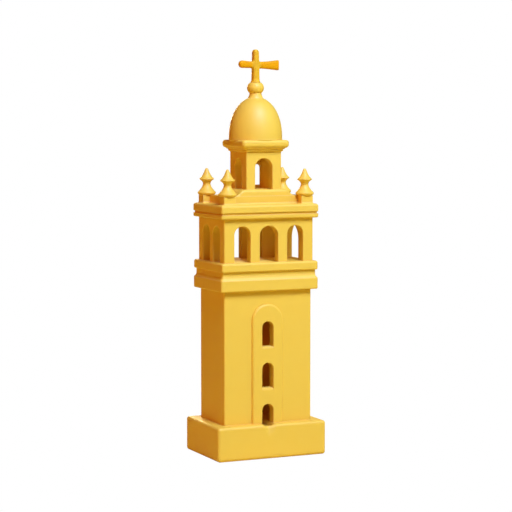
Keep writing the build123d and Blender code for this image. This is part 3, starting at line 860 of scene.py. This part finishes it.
finish_piece(swept_base, replaced=["lantern_base"], crease=40)

# %% [markdown]
# ## The cross
# The cross is thin, and a cast that thin comes out pillowy, with no crisp corner left on it. A Bevel
# would have to be told about every edge. A voxel Remesh forgets the edges instead: it rebuilds the skin
# as a fine even grid, and many rounds of smoothing then melt the corners as warm wax would. Smoothing
# shrinks a shape, most of all across its thin way, so the cross is first made larger by as much.

# %% Softened cross
cross_growth = (1.006, 1.06, 1.006)
cross_low, cross_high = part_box("cross")
cross_middle = (Vector(cross_low) + Vector(cross_high)) / 2
soft_cross = merged_copy("cross", "soft_cross")
to_middle = Matrix.Translation(-cross_middle)
grow = Matrix.Diagonal((*cross_growth, 1.0))
soft_cross.data.transform(to_middle.inverted() @ grow @ to_middle)
skin = soft_cross.modifiers.new("skin", "REMESH")
skin.mode = "VOXEL"
skin.voxel_size = 0.22 * mm
melt = soft_cross.modifiers.new("melt", "SMOOTH")
melt.factor = 0.5
melt.iterations = 70
finish_piece(soft_cross, replaced=["cross"], crease=85, finish=cross_yellow)

# %% [markdown]
# ## The floor and the room
# The tower stands on a plain white table in a white room. Both are pure white to the camera, which
# keeps the outline crisp, but they must not throw that much light back on the tower. A Light Path node
# tells the two apart: rays from the camera see white, and all others see a straw-yellow table and the
# warm dim glow of the room.

# %% Floor
bpy.ops.mesh.primitive_plane_add(size=6.0, location=(0, 0, 0))
floor = bpy.context.object
floor.name = "floor"
floor_finish = bpy.data.materials.new("white_table")
floor_finish.use_nodes = True
floor_tree = floor_finish.node_tree
floor_shader = floor_tree.nodes["Principled BSDF"]
floor_shader.inputs["Base Color"].default_value = (0.8, 0.66, 0.12, 1)
floor_shader.inputs["Roughness"].default_value = 0.9
floor_white = add_node(floor_tree, "ShaderNodeEmission", strength=1.0)
floor_white.inputs["Color"].default_value = (1, 1, 1, 1)
floor_path = add_node(floor_tree, "ShaderNodeLightPath")
floor_mix = add_node(floor_tree, "ShaderNodeMixShader")
join(floor_tree, floor_path.outputs["Is Camera Ray"], floor_mix.inputs[0])
join(floor_tree, floor_shader.outputs[0], floor_mix.inputs[1])
join(floor_tree, floor_white.outputs[0], floor_mix.inputs[2])
join(floor_tree, floor_mix.outputs[0], floor_tree.nodes["Material Output"].inputs["Surface"])
floor.data.materials.append(floor_finish)
print("floor:", floor.name)

# %% Room
room = bpy.data.worlds.new("studio")
scene.world = room
room.use_nodes = True
room_tree = room.node_tree
room_glow = room_tree.nodes["Background"]
room_glow.inputs["Color"].default_value = (0.02, 0.008, 0.0, 1)
room_glow.inputs["Strength"].default_value = 1.0
room_white = add_node(room_tree, "ShaderNodeBackground", strength=1.0)
room_white.inputs["Color"].default_value = (1, 1, 1, 1)
room_path = add_node(room_tree, "ShaderNodeLightPath")
room_mix = add_node(room_tree, "ShaderNodeMixShader")
join(room_tree, room_path.outputs["Is Camera Ray"], room_mix.inputs[0])
join(room_tree, room_glow.outputs[0], room_mix.inputs[1])
join(room_tree, room_white.outputs[0], room_mix.inputs[2])
join(room_tree, room_mix.outputs[0], room_tree.nodes["World Output"].inputs["Surface"])
print("room:", room.name)

# %% [markdown]
# ## The lamps
# A cool, soft key stands in front and above, and does nearly all the work. Three fills are warm and
# weak: one from the left keeps that side a deep amber, one from the right lifts that side, and one low
# behind gives the back its shape. A small glow inside the shaft keeps the windows a warm brown instead
# of black. The four outer lamps hang at one distance, each at its own bearing and height.

# %% Lamps
lamp_distance = 1.3


def soft_light(name, bearing, elevation, size, power, colour):
    """Hang a square area lamp at a bearing from the front, and point it at the tower."""
    turned = radians(bearing)
    raised_by = radians(elevation)
    way = Vector((sin(turned) * cos(raised_by), -cos(turned) * cos(raised_by), sin(raised_by)))
    lamp = bpy.data.lights.new(name, "AREA")
    lamp.size = size
    lamp.energy = power
    lamp.color = colour
    light = add_to_scene(name, lamp)
    light.location = aim + way * lamp_distance
    light.rotation_euler = (aim - light.location).to_track_quat("-Z", "Y").to_euler()
    print("lamp:", name, power, "W")


soft_light("key", 3, 50, size=0.5, power=33.0, colour=(0.465, 0.595, 1.0))
soft_light("right_fill", 60, 27, size=0.8, power=3.7, colour=(1.0, 0.72, 0.5))
soft_light("left_fill", -80, 24, size=0.9, power=4.9, colour=(1.0, 0.21, 0.0))
soft_light("back_fill", 166, 9, size=0.25, power=7.5, colour=(1.0, 0.78, 0.42))
inner_lamp = bpy.data.lights.new("inner_glow", "POINT")
inner_lamp.energy = 0.0008
inner_lamp.color = (1.0, 0.2, 0.0)
inner_lamp.shadow_soft_size = 8.0 * mm
inner_glow = add_to_scene("inner_glow", inner_lamp)
inner_glow.location = (8.0 * mm, 0.0, 60.0 * mm)
scene.view_settings.view_transform = "Standard"
